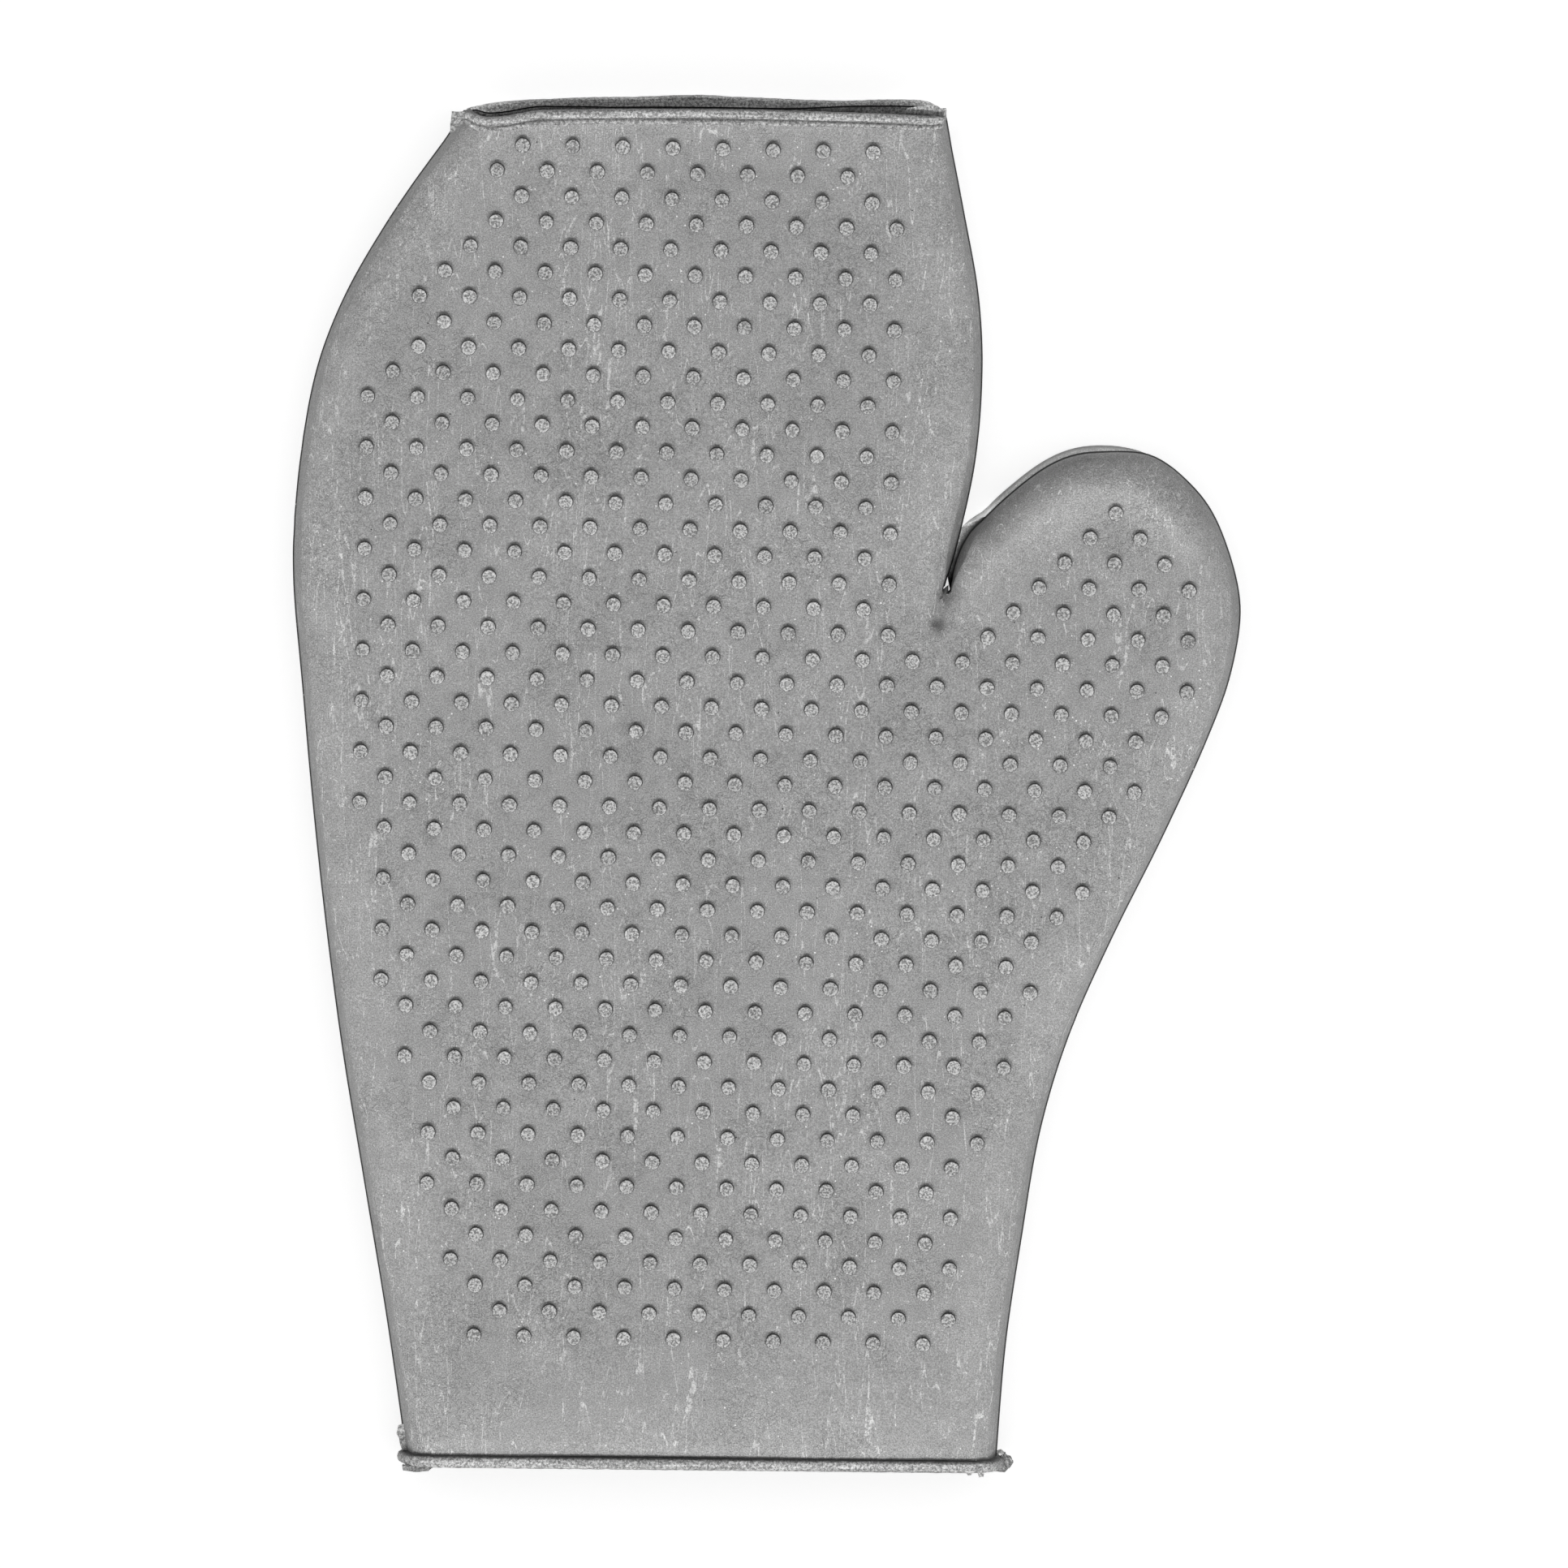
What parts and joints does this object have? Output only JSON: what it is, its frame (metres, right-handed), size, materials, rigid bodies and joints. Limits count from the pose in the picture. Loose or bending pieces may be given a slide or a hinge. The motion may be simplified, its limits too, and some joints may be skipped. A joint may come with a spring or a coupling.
{
  "type": "rubber grooming mitt",
  "caption": "Flat hollow rubber mitten with a thumb, open at wrist and fingertips, with round nubs all over the palm side for brushing and massaging a pet's coat.",
  "frame": {"origin": "centre of the mitt's outline on the surface it lies on, under the middle of its back", "axes": "+X to the thumb, +Y to the fingertips, +Z out of the nubbed palm side"},
  "size_m": [0.1641, 0.24, 0.0175],
  "materials": {
    "rubber": "matte",
    "nub_rubber": "matte",
    "rim_rubber": "matte"
  },
  "bodies": {
    "palm": {"palm_front_panel": "rubber", "palm_back_panel": "rubber", "palm_outer_wall": "rubber", "heel_wall": "rubber", "crotch_wall": "rubber", "palm_nubs": "nub_rubber", "knuckle_fold": "rubber", "knuckle_fold_nubs": "nub_rubber", "thumb_fold": "rubber", "thumb_fold_nubs": "nub_rubber", "wrist_fold": "rubber", "wrist_fold_nubs": "nub_rubber"},
    "fingers": {"finger_front_panel": "rubber", "finger_back_panel": "rubber", "finger_outer_wall": "rubber", "finger_index_wall": "rubber", "finger_nubs": "nub_rubber", "finger_front_lip": "rim_rubber", "finger_back_lip": "rim_rubber", "finger_flash": "rim_rubber"},
    "thumb": {"thumb_front_panel": "rubber", "thumb_back_panel": "rubber", "thumb_wall": "rubber", "thumb_nubs": "nub_rubber"},
    "cuff": {"cuff_front_panel": "rubber", "cuff_back_panel": "rubber", "cuff_outer_wall": "rubber", "cuff_thumb_wall": "rubber", "cuff_nubs": "nub_rubber", "wrist_bead_front": "rim_rubber", "wrist_bead_back": "rim_rubber", "wrist_flash": "rim_rubber"}
  },
  "joints": [
    {"name": "finger_bend", "type": "hinge", "parent": "palm", "child": "fingers", "pos_m": [0, 0.052, 0.008], "axis": [1, 0, 0], "range_deg": [-15, 70], "stiffness_Nm_per_rad": 0.3, "deforming": ["knuckle_fold", "knuckle_fold_nubs"]},
    {"name": "thumb_bend", "type": "hinge", "parent": "palm", "child": "thumb", "pos_m": [0.04143, 0.03656, 0.008], "axis": [0.225, -0.9744, 0], "range_deg": [-15, 40], "stiffness_Nm_per_rad": 0.12, "deforming": ["thumb_fold", "thumb_fold_nubs"]},
    {"name": "cuff_bend", "type": "hinge", "parent": "palm", "child": "cuff", "pos_m": [0, -0.08, 0.008], "axis": [-1, 0, 0], "range_deg": [-25, 25], "stiffness_Nm_per_rad": 0.3, "deforming": ["wrist_fold", "wrist_fold_nubs"]}
  ]
}
